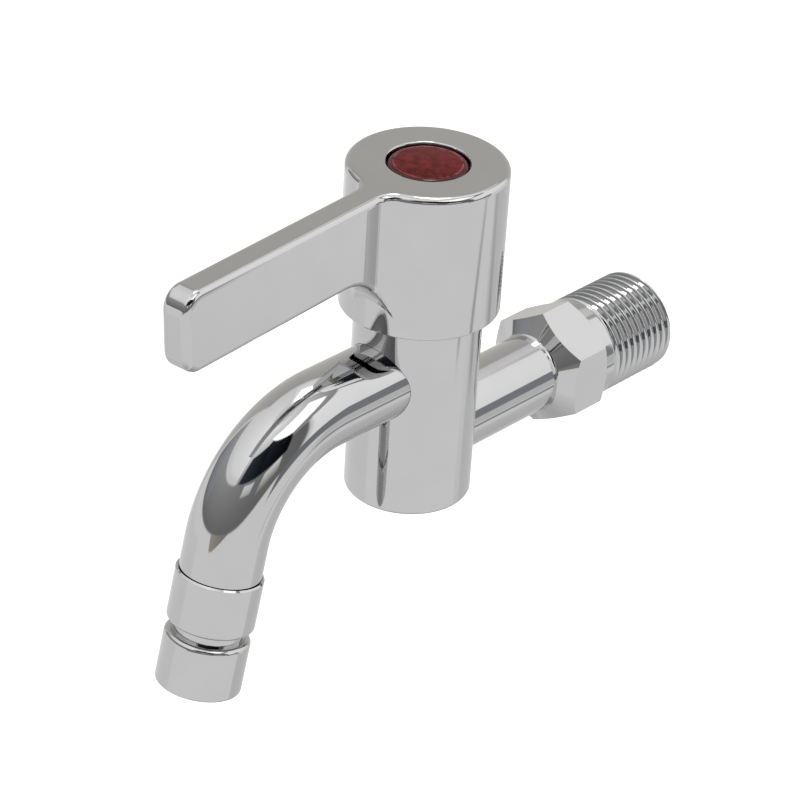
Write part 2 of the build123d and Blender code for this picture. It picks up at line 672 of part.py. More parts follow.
def lever_root(joint_y):
    """Top of the cup with the lever's root, whose underside sweeps down into the cup on an arc."""
    lever_bottom = HANDLE_TOP - LEVER_HEIGHT
    flare_bottom = max(lever_bottom - LEVER_FLARE_RADIUS, HANDLE_BOTTOM + HANDLE_RIM_ROUND)
    blank_end = joint_y - LEVER_WIDTH
    arm = Pos(0, blank_end / 2) * Rectangle(LEVER_WIDTH, -blank_end)
    keyhole = Circle(HANDLE_RADIUS) + arm
    roots = keyhole.vertices().group_by(Axis.Y)[1]
    keyhole = fillet(roots, LEVER_ROOT_ROUND)
    root = Pos(0, 0, flare_bottom) * extrude(keyhole, HANDLE_TOP - flare_bottom)
    scoop = Pos(0, -FLARE_END - CLEAR_SIZE / 2, lever_bottom - CLEAR_SIZE / 2) * Box(
        CLEAR_SIZE, CLEAR_SIZE, CLEAR_SIZE
    )
    inner_top_edge = scoop.edges().filter_by(Axis.X).group_by(Axis.Z)[-1].sort_by(Axis.Y)[-1]
    root -= fillet(inner_top_edge, LEVER_FLARE_RADIUS)
    root = fillet(root.edges().group_by(Axis.Z)[-1], HANDLE_EDGE_ROUND)
    underside = [
        face
        for face in root.faces()
        if abs(face.center().X) < SAME_LENGTH
        and face.center().Y < -FLARE_END
        and face.normal_at().Z < -SAME_LENGTH
    ]
    lower_edges = [e for face in underside for e in face.edges().filter_by(Axis.X, reverse=True)]
    root = fillet(lower_edges, HANDLE_EDGE_ROUND)
    return root - Pos(0, joint_y - CLEAR_SIZE / 2, HANDLE_TOP) * Box(CLEAR_SIZE, CLEAR_SIZE, CLEAR_SIZE)


def make_handle():
    """One casting: cup, lever with rounded roots, splined boss, screw pocket and cap recess."""
    joint_y = -(FLARE_END + LEVER_FLARE_RADIUS + LEVER_WIDTH)
    upper = lever_root(joint_y)
    drum_height = HANDLE_HEIGHT - 2 * HANDLE_EDGE_ROUND
    drum = disc(HANDLE_RADIUS, HANDLE_BOTTOM, drum_height)
    drum = fillet(drum.edges().group_by(Axis.Z)[0], HANDLE_RIM_ROUND)
    handle = upper + drum + lever_bar(joint_y)
    cavity_radius = BARREL_RADIUS + HANDLE_GAP
    cavity_bottom = HANDLE_BOTTOM - OVERCUT
    handle -= disc(cavity_radius, cavity_bottom, CAVITY_TOP - cavity_bottom)
    handle += disc(BOSS_DIAMETER / 2, BOSS_BOTTOM, SCREW_SEAT_Z - BOSS_BOTTOM)
    bore_bottom = BOSS_BOTTOM - OVERCUT
    spline_bore = extrude(spline_face(RUNNING_GAP), SPINDLE_TOP + SLIDE_GAP - bore_bottom)
    handle -= Pos(0, 0, bore_bottom) * spline_bore
    screw_hole_radius = SCREW_DIAMETER / 2 + SLIDE_GAP
    handle -= disc(screw_hole_radius, BOSS_BOTTOM, SCREW_SEAT_Z - BOSS_BOTTOM + OVERCUT)
    handle -= disc(SCREW_POCKET_RADIUS, SCREW_SEAT_Z, SCREW_POCKET_DEPTH + OVERCUT)
    recess_radius = CAP_DIAMETER / 2 + SLIDE_GAP
    handle -= disc(recess_radius, CAP_SEAT_Z, HANDLE_TOP - CAP_SEAT_Z + OVERCUT)
    return TURNED * fillet(circles_at(handle, recess_radius, HANDLE_TOP), CAP_RECESS_ROUND)


def make_handle_screw():
    """Slotted pan-head screw that holds the handle on the spindle."""
    head = disc(SCREW_HEAD_DIAMETER / 2, SCREW_SEAT_Z, SCREW_HEAD_HEIGHT)
    head = fillet(head.edges().group_by(Axis.Z)[-1], SCREW_HEAD_HEIGHT / 2)
    head -= Pos(0, 0, SCREW_SEAT_Z + SCREW_HEAD_HEIGHT) * Box(
        SCREW_SLOT_WIDTH, 2 * SCREW_HEAD_DIAMETER, 2 * SCREW_SLOT_DEPTH
    )
    return TURNED * (head + disc(SCREW_DIAMETER / 2, SCREW_SEAT_Z - SCREW_LENGTH, SCREW_LENGTH))


def make_indicator_cap():
    """Red disc with a rounded edge and a skirt that plugs into the screw pocket."""
    plate = disc(CAP_DIAMETER / 2, CAP_SEAT_Z, CAP_THICKNESS)
    plate = fillet(plate.edges().group_by(Axis.Z)[-1], CAP_EDGE_ROUND)
    skirt_radius = SCREW_POCKET_RADIUS - SLIDE_GAP
    skirt_bottom = CAP_SEAT_Z - CAP_SKIRT_DEPTH
    skirt = ring(skirt_radius, skirt_radius - CAP_SKIRT_WALL, skirt_bottom, CAP_SKIRT_DEPTH)
    return TURNED * (plate + skirt)


PIECES = {
    "inlet_tail": make_inlet_tail,
    "barrel": make_barrel,
    "spout": make_spout,
    "outlet_sleeve": make_outlet_sleeve,
    "aerator_collar": make_aerator_collar,
    "aerator_washer": make_aerator_washer,
    "aerator_screen": make_aerator_screen,
    "aerator_insert": make_aerator_insert,
    "cartridge_housing": make_cartridge_housing,
    "housing_washer": make_housing_washer,
    "seat_seal": make_seat_seal,
    "fixed_disc": make_fixed_disc,
    "slip_washer": make_slip_washer,
    "moving_disc": make_moving_disc,
    "spindle": make_spindle,
    "spindle_o_ring_lower": make_lower_o_ring,
    "spindle_o_ring_upper": make_upper_o_ring,
    "spindle_clip": make_spindle_clip,
    "handle": make_handle,
    "handle_screw": make_handle_screw,
    "indicator_cap": make_indicator_cap,
}

os.makedirs("parts", exist_ok=True)
for name, make in PIECES.items():
    export_step(make(), f"parts/{name}.step")
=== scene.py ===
"""Looks of a wall-mounted lever bib tap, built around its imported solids."""

import json
import math
from functools import cache

import bpy
import numpy as np
from mathutils import Matrix, Vector


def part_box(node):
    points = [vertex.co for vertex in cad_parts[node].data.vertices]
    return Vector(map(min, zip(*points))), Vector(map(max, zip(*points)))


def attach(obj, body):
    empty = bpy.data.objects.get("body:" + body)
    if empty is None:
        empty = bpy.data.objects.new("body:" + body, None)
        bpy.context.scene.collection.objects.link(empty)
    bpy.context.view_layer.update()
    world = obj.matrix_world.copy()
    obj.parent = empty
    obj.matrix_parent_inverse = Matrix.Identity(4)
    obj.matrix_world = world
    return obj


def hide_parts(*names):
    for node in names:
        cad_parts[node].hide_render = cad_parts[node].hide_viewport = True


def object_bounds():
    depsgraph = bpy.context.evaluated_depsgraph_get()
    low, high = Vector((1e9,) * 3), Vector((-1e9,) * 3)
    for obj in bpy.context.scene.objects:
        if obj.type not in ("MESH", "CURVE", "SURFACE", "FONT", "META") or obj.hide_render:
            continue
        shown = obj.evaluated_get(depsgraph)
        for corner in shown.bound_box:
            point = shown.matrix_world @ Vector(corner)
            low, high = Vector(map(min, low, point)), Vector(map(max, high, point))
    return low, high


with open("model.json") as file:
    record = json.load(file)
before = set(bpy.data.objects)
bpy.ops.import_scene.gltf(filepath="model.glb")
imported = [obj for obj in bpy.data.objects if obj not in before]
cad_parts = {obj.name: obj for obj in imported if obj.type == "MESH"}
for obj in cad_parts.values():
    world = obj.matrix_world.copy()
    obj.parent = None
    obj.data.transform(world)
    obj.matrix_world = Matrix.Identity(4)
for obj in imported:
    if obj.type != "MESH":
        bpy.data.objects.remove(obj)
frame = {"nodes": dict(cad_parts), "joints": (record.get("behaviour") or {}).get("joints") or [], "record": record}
CAD_BOX = [list(corner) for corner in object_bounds()]

bl_info = {
    "name": "Lever bib tap",
    "version": (1, 0, 0),
    "blender": (4, 5, 0),
    "location": "View3D > Sidebar > Bib tap",
    "description": "Builds the visible pieces, finishes and studio of a lever bib tap",
    "category": "Object",
}

MM = 0.001
TAU = 2 * math.pi

# Points that hold a straight's shading: how far from its ends, and the most that may be of its length
HOLD, HOLD_SHARE = 0.12 * MM, 0.2

# Points round the pieces that are turned about an axis
INLET_COLUMNS, TUBE_COLUMNS, CAP_COLUMNS = 192, 160, 128

# Pipe thread of 55 degrees: rounding and depth as shares of the pitch, tilt of its flanks in degrees
THREAD_ROUNDING, THREAD_DEPTH, THREAD_TILT = 0.137329, 0.640327, 62.5

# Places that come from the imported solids
AXIS_Y = frame["joints"][0]["pos_m"][1]
INLET_LOW, INLET_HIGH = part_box("inlet_tail")
SPOUT_LOW, SPOUT_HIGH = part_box("spout")
SLEEVE_LOW, SLEEVE_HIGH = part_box("outlet_sleeve")
COLLAR_LOW, COLLAR_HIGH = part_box("aerator_collar")
CAP_LOW, CAP_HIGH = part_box("indicator_cap")


def linear(hexcode):
    """sRGB hex colour as linear red, green and blue."""
    channels = np.array([int(hexcode[i : i + 2], 16) for i in (0, 2, 4)]) / 255
    low, high = channels / 12.92, ((channels + 0.055) / 1.055) ** 2.4
    return tuple(float(c) for c in np.where(channels <= 0.04045, low, high))


def length(name, description, millimetres):
    """Length property with its default in millimetres."""
    return bpy.props.FloatProperty(
        name=name, description=description, default=millimetres * MM, min=0, unit="LENGTH"
    )


def colour(name, description, hexcode):
    """Colour property with its default as an sRGB hex value."""
    return bpy.props.FloatVectorProperty(
        name=name, description=description, default=linear(hexcode), size=3, subtype="COLOR"
    )


class TapSizes(bpy.types.PropertyGroup):
    """Sizes of the pieces that are drawn here."""

    hex_length: length("Hexagon length", "Length of the inlet hexagon", 10.2)
    hex_face_inset: length("Hexagon face inset", "How far the cones start inside the flats", 0.3)
    hex_cone: bpy.props.FloatProperty(
        name="Hexagon cone",
        description="Slope of the cones at both ends of the hexagon",
        default=math.radians(33),
        subtype="ANGLE",
    )
    inlet_tube: length("Inlet tube", "Outer diameter of the inlet tube", 15.6)
    inlet_bore: length("Inlet bore", "Diameter of the waterway in the inlet", 11.1)
    inlet_root: length("Inlet root", "Rounding between the inlet tube and the hexagon", 0.8)
    thread_diameter: length("Thread diameter", "Diameter over the thread crests", 20.955)
    thread_pitch: length("Thread pitch", "Pitch of the inlet thread", 1.814)
    plain_shank: length("Plain shank", "Length of the plain shank between hexagon and thread", 2.4)
    thread_lead: length("Thread lead", "Chamfer at the end of the thread", 0.9)
    spout_rise: length("Spout rise", "Height of the spout over the inlet axis", 16.0)
    spout_run: length("Spout run", "From the barrel axis to the start of the bend", 25.4)
    spout_bend: length("Spout bend radius", "Radius of the bend at the tube's centre line", 24.1)
    spout_turn: bpy.props.FloatProperty(
        name="Spout turn", description="Angle of the bend", default=math.radians(77.5), subtype="ANGLE"
    )
    spout_tip: length("Spout tip", "Straight end of the spout after the bend", 6.3)
    spout_wall: length("Spout wall", "Wall of the spout tube", 1.95)
    spout_cope: length("Spout cope", "Radius of the gallery that the tube is coped to", 9.65)
    sleeve_length: length("Sleeve length", "Length of the outlet sleeve down to the groove", 10.5)
    sleeve_chamfer: length("Sleeve chamfer", "Edge break at the seam with the spout", 0.3)
    seam_depth: length("Seam depth", "Depth of the narrow gap between spout and sleeve", 0.6)
    sleeve_round: length("Sleeve round", "Rounding above the groove", 0.8)
    neck_depth: length("Groove depth", "Depth of the groove between sleeve and collar", 1.7)
    neck_length: length("Groove width", "Width of the groove between sleeve and collar", 2.1)
    male_inset: length("Male inset", "How far the sleeve's male thread lies inside its surface", 1.4)
    male_length: length("Male length", "Length of the sleeve's male thread", 4.2)
    collar_length: length("Collar length", "Length of the aerator collar", 10.8)
    collar_shoulder: length("Collar shoulder", "Rounding at the collar's upper edge", 1.0)
    collar_round: length("Collar round", "Rounding at the collar's lower edge", 0.5)
    collar_bore: length("Collar bore", "Diameter of the collar's threaded bore", 14.0)
    collar_lip: length("Collar lip", "Width of the lip that holds the insert", 0.9)
    collar_lip_thickness: length("Collar lip thickness", "Thickness of that lip", 0.8)
    cap_skirt_depth: length("Cap skirt depth", "How far the cap's skirt reaches below its rim", 1.2)
    cap_skirt_inset: length("Cap skirt inset", "From the cap's rim to the outside of its skirt", 3.4)
    cap_skirt_wall: length("Cap skirt wall", "Wall of the cap's skirt", 0.8)
    cap_round: length("Cap round", "Rounding at the cap's edge", 1.3)
    cap_crown: length("Cap crown", "How far the cap rises to its middle", 0.2)


class TapColours(bpy.types.PropertyGroup):
    """Colours of the finishes."""

    chrome: colour("Chrome", "Reflectance of polished chromium plate", "C6C6C6")
    chrome_haze: colour("Chrome haze", "Chromium plate where it is slightly dulled", "C0C0C1")
    # Painted shade: a darker plate colour laid into the thread's roots
    thread_root_shade: colour("Thread root", "Thin, dull plate in the roots of the thread", "ABACAD")
    cap_red: colour("Cap red", "Body colour of the moulded cap", "400305")
    cap_mottle: colour("Cap mottle", "Paler flow marks in the cap", "7E181C")
    # Painted shade: the darker red on the cap's rounded edge
    cap_edge_shade: colour("Cap edge", "Deeper red where the cap's edge turns down", "400408")
    # Painted highlight: the paler line where the cap's edge begins to turn
    cap_highlight_line: colour("Cap line", "Paler line where the edge begins to turn", "B4656A")
    white_plastic: colour("White plastic", "Moulded acetal of the aerator insert", "E4E4DF")
    steel: colour("Steel", "Bare stainless steel", "B4B3AF")
    brass: colour("Brass", "Machined brass", "C9A45A")
    rubber: colour("Rubber", "Black seal rubber", "1C1C1D")
    fibre: colour("Fibre", "Red vulcanised fibre", "7A3A2A")
    ceramic: colour("Ceramic", "Lapped alumina", "EAE6DC")


# Meshes


def link_mesh(name, points, faces, sharp_degrees=24):
    """Smooth mesh object in the scene, with edges kept sharp where faces meet steeply."""
    mesh = bpy.data.meshes.new(name)
    mesh.from_pydata(points, [], faces)
    mesh.polygons.foreach_set("use_smooth", np.ones(len(mesh.polygons), bool))
    mesh.set_sharp_from_angle(angle=math.radians(sharp_degrees))
    mesh.update()
    piece = bpy.data.objects.new(name, mesh)
    bpy.context.scene.collection.objects.link(piece)
    return piece


def closed_grid(name, points):
    """Grid of points that closes on itself along rows and columns, like the skin of a ring.

    Point (i, j) makes a quad with its neighbours one row and one column on, counted round.
    """
    index = np.arange(points.shape[0] * points.shape[1]).reshape(points.shape[:2])
    beside, below = np.roll(index, -1, 1), np.roll(index, -1, 0)
    quads = np.stack([index, beside, np.roll(beside, -1, 0), below], -1).reshape(-1, 4)
    return link_mesh(name, points.reshape(-1, 3), quads.tolist())


def poled_grid(name, points, first, last):
    """Grid that closes round its columns, from a pole before its first row to one after its last.

    Neighbours in two rows make a quad, and neighbours in an end row make a triangle with its pole.
    """
    rows, columns = points.shape[:2]
    index = np.arange(rows * columns).reshape(rows, columns)
    beside = np.roll(index, -1, 1)
    quads = np.stack([index[:-1], beside[:-1], beside[1:], index[1:]], -1).reshape(-1, 4)
    pole = np.full(columns, rows * columns)
    start = np.stack([pole, beside[0], index[0]], -1)
    end = np.stack([index[-1], beside[-1], pole + 1], -1)
    vertices = np.concatenate([points.reshape(-1, 3), [first, last]])
    return link_mesh(name, vertices, quads.tolist() + start.tolist() + end.tolist())


def turned(radius, height, columns, origin, axis, start):
    """Points of a shape turned about an axis.

    The point of row i and column j lies the height of row i along the axis and its radius out from
    it, at the angle of column j counted from the start direction. Both arrays have a row for each
    row of points, and either one column or a column for each angle.
    """
    axis, start = np.array(axis, float), np.array(start, float)
    angle = np.arange(columns) * TAU / columns
    out = np.cos(angle)[:, None] * start + np.sin(angle)[:, None] * np.cross(axis, start)
    return np.array(origin, float) + height[..., None] * axis + radius[..., None] * out


def corner_arc(centre, radius, start_degrees, end_degrees, count=9):
    """Points of an arc in the plane of radius and height.

    Each point is the centre plus the radius times the cosine and sine of its angle.
    """
    angle = np.radians(np.linspace(start_degrees, end_degrees, count))
    return np.stack([centre[0] + radius * np.cos(angle), centre[1] + radius * np.sin(angle)], -1)


def outline(*runs):
    """One list of (radius, height) points from single points and arcs, in order.

    A long straight gets a point at the hold length from each of its ends, which keeps its shading
    flat. Its place is the end plus the share hold / length of the way to the other end.
    """
    points = np.concatenate([np.atleast_2d(run) for run in runs])
    step = np.diff(points, axis=0)
    share = HOLD / np.maximum(np.linalg.norm(step, axis=1), 1e-9)[:, None]
    rows = np.stack([points[:-1], points[:-1] + share * step, points[1:] - share * step], 1)
    straight = share < HOLD_SHARE
    kept = np.hstack([np.ones_like(straight), straight, straight])
    return np.concatenate([rows[kept], points[-1:]])


def soft_step(value):
    """Smooth rise from 0 at 0 to 1 at 1: three times the square less twice the cube."""
    held = np.clip(value, 0, 1)
    return held * held * (3 - 2 * held)


# Finishes


def add(tree, kind, inputs=None, **settings):
    """Adds a node with its settings. Each input gets a value, or a link from a socket or a node.

    A node that is linked as a whole gives its first output in use.
    """
    made = tree.nodes.new(kind)
    for name, value in settings.items():
        setattr(made, name, value)
    for key, source in (inputs or {}).items():
        if isinstance(source, bpy.types.Node):
            source = next(socket for socket in source.outputs if socket.enabled)
        if isinstance(source, bpy.types.NodeSocket):
            tree.links.new(source, made.inputs[key])
        else:
            made.inputs[key].default_value = source
    return made


def per(millimetres):
    """Texture scale at which a pattern's features are about this wide."""
    return 1 / (millimetres * MM)


def rgba(value):
    """Colour with full alpha."""
    return (*value, 1)


def begin_finish(name):
    """Material with an empty node tree."""
    finish = bpy.data.materials.new(name)
    finish.use_nodes = True
    finish.node_tree.nodes.clear()
    return finish, finish.node_tree


def chromium_plate(name, wave_mm, wave_height_mm, haze_mm=7):
    """Polished chromium over nickel: a grey mirror, with soft buffing haze and a slow ripple in it.

    In the roots of a thread, which the attribute groove marks, the plate is painted darker as shade.
    """
    paint = bpy.context.scene.tap_colours
    finish, tree = begin_finish(name)
    place = add(tree, "ShaderNodeTexCoord").outputs["Object"]
    haze = add(tree, "ShaderNodeTexNoise", {"Vector": place, "Scale": per(haze_mm), "Detail": 3})
    ripple = add(tree, "ShaderNodeTexNoise", {"Vector": place, "Scale": per(wave_mm), "Detail": 1})
    bump = add(
        tree, "ShaderNodeBump", {"Height": ripple, "Strength": 1, "Distance": wave_height_mm * MM}
    )
    groove = add(tree, "ShaderNodeAttribute", attribute_name="groove").outputs["Fac"]
    plate = add(
        tree,
        "ShaderNodeMix",
        {"Factor": haze, "A": rgba(paint.chrome), "B": rgba(paint.chrome_haze)},
        data_type="RGBA",
    )
    # Painted shade: the plate is blended towards the darker root colour by the attribute groove
    root_shaded = add(
        tree,
        "ShaderNodeMix",
        {"Factor": groove, "A": plate, "B": rgba(paint.thread_root_shade)},
        data_type="RGBA",
    )
    blur = add(tree, "ShaderNodeMapRange", {"Value": haze, "To Min": 0.03, "To Max": 0.07})
    shader = add(
        tree,
        "ShaderNodeBsdfPrincipled",
        {"Base Color": root_shaded, "Metallic": 1, "Roughness": blur, "Normal": bump},
    )
    add(tree, "ShaderNodeOutputMaterial", {"Surface": shader})
    return finish


def moulded_cap(flow_mm=1.8):
    """Glossy injection-moulded plastic in dark red, with paler flow marks and a soft shine.

    By the attribute rim, the share of the radius, it is painted darker as shade where the edge turns down
    and is rubbed to a gloss there, and a broken paler line is painted on as a highlight where the turn begins.
    """
    paint = bpy.context.scene.tap_colours
    finish, tree = begin_finish("moulded_red_plastic")
    place = add(tree, "ShaderNodeTexCoord").outputs["Object"]
    noise = add(
        tree,
        "ShaderNodeTexNoise",
        {"Vector": place, "Scale": per(flow_mm), "Detail": 6, "Roughness": 0.65},
    )
    flow = add(tree, "ShaderNodeMapRange", {"Value": noise, "From Min": 0.36, "From Max": 0.7})
    turn_start, turn_end = 0.84, 0.9
    line_place, line_core, line_fade = 0.83, 0.005, 0.022
    rim = add(tree, "ShaderNodeAttribute", attribute_name="rim").outputs["Fac"]
    turn = add(
        tree,
        "ShaderNodeMapRange",
        {"Value": rim, "From Min": turn_start, "From Max": turn_end},
        interpolation_type="SMOOTHSTEP",
    )
    # Painted highlight: a broken paler line at this share of the radius
    past_line = add(tree, "ShaderNodeMath", {0: rim, 1: line_place}, operation="SUBTRACT")
    off_line = add(tree, "ShaderNodeMath", {0: past_line}, operation="ABSOLUTE")
    line = add(
        tree,
        "ShaderNodeMapRange",
        {"Value": off_line, "From Min": line_core, "From Max": line_fade, "To Min": flow, "To Max": 0},
    )
    body = add(
        tree,
        "ShaderNodeMix",
        {"Factor": flow, "A": rgba(paint.cap_red), "B": rgba(paint.cap_mottle)},
        data_type="RGBA",
    )
    highlight_lined = add(
        tree,
        "ShaderNodeMix",
        {"Factor": line, "A": body, "B": rgba(paint.cap_highlight_line)},
        data_type="RGBA",
    )
    # Painted shade: the colour goes darker where the edge turns down
    edge_shaded = add(
        tree,
        "ShaderNodeMix",
        {"Factor": turn, "A": highlight_lined, "B": rgba(paint.cap_edge_shade)},
        data_type="RGBA",
    )
    blur = add(tree, "ShaderNodeMapRange", {"Value": flow, "To Min": 0.06, "To Max": 0.14})
    gloss = add(tree, "ShaderNodeMapRange", {"Value": turn, "To Min": 0, "To Max": 0.5})
    bump = add(tree, "ShaderNodeBump", {"Height": flow, "Strength": 0.3, "Distance": 0.02 * MM})
    shader = add(
        tree,
        "ShaderNodeBsdfPrincipled",
        {
            "Base Color": edge_shaded,
            "Roughness": blur,
            "Specular IOR Level": 0.12,
            "Normal": bump,
            "Coat Weight": gloss,
            "Coat Roughness": 0.03,
        },
    )
    add(tree, "ShaderNodeOutputMaterial", {"Surface": shader})
    return finish


def plain_finish(name, base, grain_mm, shade, roughness, metallic=0.0, gloss_drift=0.15):
    """Even surface whose tone and gloss drift by a small share over a grain of this width.

    Tool marks and fibres finer than half a millimetre would not show, so they are drawn that coarse.
    """
    finish, tree = begin_finish(name)
    place = add(tree, "ShaderNodeTexCoord").outputs["Object"]
    grain = add(tree, "ShaderNodeTexNoise", {"Vector": place, "Scale": per(grain_mm), "Detail": 4})
    darker = [c * (1 - shade) for c in base]
    tone = add(
        tree, "ShaderNodeMix", {"Factor": grain, "A": rgba(base), "B": rgba(darker)}, data_type="RGBA"
    )
    blur = add(
        tree,
        "ShaderNodeMapRange",
        {
            "Value": grain,
            "To Min": roughness * (1 - gloss_drift),
            "To Max": roughness * (1 + gloss_drift),
        },
    )
    shader = add(
        tree,
        "ShaderNodeBsdfPrincipled",
        {"Base Color": tone, "Metallic": metallic, "Roughness": blur},
    )
    add(tree, "ShaderNodeOutputMaterial", {"Surface": shader})
    return finish


@cache
def finishes():
    """One material for each slot of the record, made at the first call."""
    paint = bpy.context.scene.tap_colours
    return {
        # Buffed and plated brass: a clear grey mirror with a long, slow ripple
        "chrome_plated_brass": chromium_plate("chromium_plated_brass", 15, 0.004),
        # Plated zinc casting: the same mirror, with a slightly shorter and deeper ripple
        "chrome_plated_zinc": chromium_plate("chromium_plated_zinc", 12, 0.005),
        # Injection-moulded plastic: dark red with paler flow marks
        "red_cap_plastic": moulded_cap(),
        # Moulded acetal: waxy white with a low shine
        "white_plastic": plain_finish("moulded_acetal", paint.white_plastic, 3, 0.06, 0.38),
        # Drawn and punched stainless steel: a dull silver
        "stainless_steel": plain_finish("drawn_stainless_steel", paint.steel, 0.8, 0.1, 0.3, 1.0),
        # Turned brass: yellow metal with fine tool marks
        "bare_brass": plain_finish("turned_brass", paint.brass, 0.6, 0.12, 0.26, 1.0),
        # Moulded nitrile rubber: black and matt
        "seal_rubber": plain_finish("nitrile_rubber", paint.rubber, 0.7, 0.2, 0.6),
        # Pressed vulcanised fibre: reddish brown and dry
        "fibre": plain_finish("vulcanised_fibre", paint.fibre, 0.5, 0.25, 0.75),
        # Lapped alumina: white and smooth
        "ceramic_white": plain_finish("lapped_alumina", paint.ceramic, 2, 0.04, 0.15),
    }


def settle(piece, body, slot, node):
    """Gives a drawn piece its finish and its place in the frame, where it stands for a CAD node."""
    piece.data.materials.append(finishes()[slot])
    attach(piece, body)
    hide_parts(node)


# Pieces


def thread_depth(phase, pitch):
    """Depth below the crest of a rounded 55 degree pipe thread, where phase counts turns from a crest.

    From the crest a rounding leads into a straight flank, and the root mirrors the crest.
    """
    rounding, full = THREAD_ROUNDING * pitch, THREAD_DEPTH * pitch
    tilt = math.radians(THREAD_TILT)
    across = np.abs(phase - np.round(phase)) * pitch
    arc_end = rounding * math.sin(tilt)
    arc_depth = rounding * (1 - math.cos(tilt))
    crest = rounding - np.sqrt(np.maximum(rounding**2 - across**2, 0))
    to_root = pitch / 2 - across
    root = full - (rounding - np.sqrt(np.maximum(rounding**2 - to_root**2, 0)))
    flank = arc_depth + (across - arc_end) * math.tan(tilt)
    return np.where(across < arc_end, crest, np.where(to_root < arc_end, root, flank))


def inlet_tail_points(size, columns=INLET_COLUMNS, rows_per_turn=24):
    """Inlet tube, coned hexagon and threaded shank as one closed skin about the Y axis.

    Rows run along the tube and its root, up the cone to the hexagon, along the thread and back
    through the bore. A hexagon row has the radius flat / cos(angle from the middle of the flat), and
    its height is where the cone has that radius. Over the thread the radius is the crest less the
    depth at the phase height / pitch - angle / turn, which grows from nothing over the first turn.
    """
    angle = np.arange(columns) * TAU / columns
    tube, bore = size.inlet_tube / 2, size.inlet_bore / 2
    start, end = INLET_LOW.y, INLET_HIGH.y
    front = -size.hex_length
    slope = math.tan(size.hex_cone)
    flat = (INLET_HIGH.x - INLET_LOW.x) / 2
    face = flat - size.hex_face_inset
    sixth = TAU / 6
    hexagon = flat / np.cos(np.mod(angle, sixth) - sixth / 2)
    chamfer = (hexagon - face) * slope
    nose = front - (face - tube) * slope
    root = size.inlet_root
    root_middle = nose + root * slope - root / math.cos(size.hex_cone)
    lead_in = outline(
        (bore, start),
        (tube, start),
        corner_arc((tube + root, root_middle), root, 180, 90 + math.degrees(size.hex_cone)),
    )
    crest = size.thread_diameter / 2
    plain = outline((face, 0), (crest, 0))
    along = np.linspace(
        size.plain_shank, end, int((end - size.plain_shank) / size.thread_pitch * rows_per_turn)
    )[:, None]
    depth = thread_depth(along / size.thread_pitch - angle / TAU, size.thread_pitch)
    run_in = soft_step((along - size.plain_shank) / size.thread_pitch)
    cone = crest - np.maximum(along - (end - size.thread_lead), 0)
    thread = np.minimum(crest - depth * run_in, cone)

    def even(values):
        return np.repeat(np.asarray(values, float)[:, None], columns, 1)

    radius = np.concatenate(
        [even(lead_in[:, 0]), [hexagon, hexagon], even(plain[:, 0]), thread, even([bore])]
    )
    height = np.concatenate(
        [
            even(lead_in[:, 1]),
            [front + chamfer, -chamfer],
            even(plain[:, 1]),
            even(along[:, 0]),
            even([end]),
        ]
    )
    return turned(radius, height, columns, (0, 0, 0), (0, 1, 0), (0, 0, 1))


def spout_points(size, columns=TUBE_COLUMNS, run_rows=9, bend_rows=97, tip_rows=7):
    """Bent tube as one closed skin: out along its outer wall and back along its bore.

    A circle is carried along the centre line, which runs level from the barrel, turns down on an
    arc and ends straight. At the barrel each line of the tube starts where it meets the gallery,
    at the square root of cope squared less its sideways offset squared.
    """
    angle = np.arange(columns) * TAU / columns
    turn, bend = size.spout_turn, size.spout_bend
    outer = (SPOUT_HIGH.x - SPOUT_LOW.x) / 2
    arc = np.linspace(0, turn, bend_rows)
    tip = np.linspace(0, size.spout_tip, tip_rows)[1:]
    bearing = np.concatenate([arc, np.full(len(tip), turn)])
    beyond = np.concatenate([np.zeros(len(arc)), tip])
    centre_y = AXIS_Y - size.spout_run - bend * np.sin(bearing) - beyond * np.cos(bearing)
    centre_z = size.spout_rise - bend * (1 - np.cos(bearing)) - beyond * np.sin(bearing)

    def wall(radius):
        sideways, upward = radius * np.sin(angle), radius * np.cos(angle)
        begin = AXIS_Y - np.sqrt(size.spout_cope**2 - sideways**2)
        bend_start = AXIS_Y - size.spout_run
        share = np.linspace(0, 1, run_rows)[:-1, None]
        run_y = begin + share * (bend_start - begin)
        run_z = np.repeat((size.spout_rise + upward)[None], len(share), 0)
        bend_y = centre_y[:, None] - np.sin(bearing)[:, None] * upward
        bend_z = centre_z[:, None] + np.cos(bearing)[:, None] * upward
        y, z = np.concatenate([run_y, bend_y]), np.concatenate([run_z, bend_z])
        return np.stack([np.broadcast_to(sideways, y.shape), y, z], -1)

    return np.concatenate([wall(outer), wall(outer - size.spout_wall)[::-1]])


def outlet_frame(size):
    """Middle of the spout's end and the direction in which the water leaves.

    The direction is the way forward, turned down by the angle of the bend. The middle lies the
    length of the tip along it from the end of the bend's arc.
    """
    turn, bend = size.spout_turn, size.spout_bend
    out = np.array([0, -math.cos(turn), -math.sin(turn)])
    bend_end = np.array(
        [
            0,
            AXIS_Y - size.spout_run - bend * math.sin(turn),
            size.spout_rise - bend * (1 - math.cos(turn)),
        ]
    )
    return bend_end + out * size.spout_tip, out


def sleeve_outline(size):
    """Half section of the outlet sleeve: bore, seam, chamfered edge, wall, rounding, groove, male end."""
    radius, tube = (SLEEVE_HIGH.x - SLEEVE_LOW.x) / 2, (SPOUT_HIGH.x - SPOUT_LOW.x) / 2
    inner = tube - size.spout_wall
    neck, male = radius - size.neck_depth, radius - size.male_inset
    edge, end, rounding = size.sleeve_chamfer, size.sleeve_length, size.sleeve_round
    neck_end = end + size.neck_length
    return outline(
        (inner, 0),
        (tube, 0),
        (tube, size.seam_depth),
        (radius - edge, size.seam_depth),
        (radius - edge, 0),
        (radius, edge),
        corner_arc((radius - rounding, end - rounding), rounding, 0, 90),
        (neck, end),
        (neck, neck_end),
        (male, neck_end),
        (male, neck_end + size.male_length),
        (inner, neck_end + size.male_length),
    )


